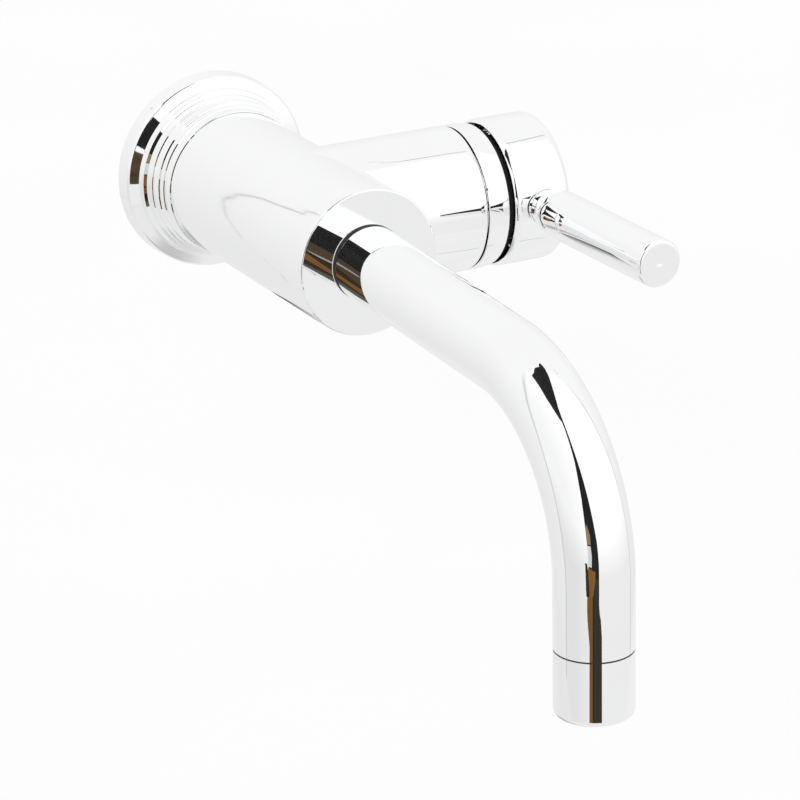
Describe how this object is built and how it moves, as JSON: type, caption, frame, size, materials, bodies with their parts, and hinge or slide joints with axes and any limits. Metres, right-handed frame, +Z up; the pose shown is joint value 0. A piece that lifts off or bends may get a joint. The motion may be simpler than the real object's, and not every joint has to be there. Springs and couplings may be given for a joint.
{
  "type": "wall-mounted basin mixer",
  "caption": "Chrome basin mixer for a wall: round barrel with a side valve branch and pin lever, long bent spout and stepped wall flange.",
  "frame": {"origin": "centre of the wall flange, on the wall surface", "axes": "+Y into the wall, so the mixer stands out along -Y; +X along the valve branch towards the handle; +Z up"},
  "size_m": [0.116, 0.2621, 0.1294],
  "materials": {
    "polished_chrome": "polished chrome plate on brass",
    "plain_steel": "plain stainless steel",
    "bare_brass": "machined brass",
    "black_rubber": "matt black rubber",
    "black_plastic": "satin black plastic",
    "grey_plastic": "satin grey plastic",
    "white_plastic": "satin white plastic",
    "disc_ceramic": "lapped white ceramic"
  },
  "bodies": {
    "fixed_part": {"wall_gasket": "black_rubber", "wall_plate": "plain_steel", "body_set_screw": "plain_steel", "wall_flange": "polished_chrome", "flange_seal": "black_rubber", "valve_body": "polished_chrome", "bonnet_ring": "polished_chrome", "gap_shroud": "black_plastic", "cartridge_nut": "bare_brass", "cartridge_base": "white_plastic", "cartridge_seals": "black_rubber", "cartridge_housing": "white_plastic", "fixed_disc": "disc_ceramic", "spout_gasket": "black_rubber", "spout_tube": "polished_chrome", "spout_spigot": "bare_brass", "spout_o_rings": "black_rubber", "spout_set_screw": "plain_steel", "outlet_nipple": "bare_brass", "aerator_washer": "black_rubber", "aerator_housing": "polished_chrome", "aerator_insert": "grey_plastic"},
    "turret": {"cartridge_rotor": "white_plastic", "pivot_pin": "plain_steel"},
    "disc_slider": {"moving_disc": "disc_ceramic", "disc_carrier": "white_plastic"},
    "handle": {"stem": "plain_steel", "handle_cap": "polished_chrome", "handle_set_screw": "plain_steel", "screw_plug": "grey_plastic", "lever_collar": "polished_chrome", "lever_stud": "plain_steel", "lever": "polished_chrome"}
  },
  "joints": [
    {"name": "temperature_turn", "type": "hinge", "parent": "fixed_part", "child": "turret", "pos_m": [0, -0.07, 0], "axis": [1, 0, 0], "range_deg": [-45, 45]},
    {"name": "flow_lift", "type": "hinge", "parent": "turret", "child": "handle", "pos_m": [0.046, -0.07, 0], "axis": [0, 0, 1], "range_deg": [0, 14]},
    {"name": "disc_slide", "type": "slide", "parent": "turret", "child": "disc_slider", "axis": [0, -1, 0], "range_m": [0, 0.0018]}
  ],
  "couplings": [
    {"joint": "disc_slide", "follows": "flow_lift", "m_per_rad": 0.00715}
  ]
}
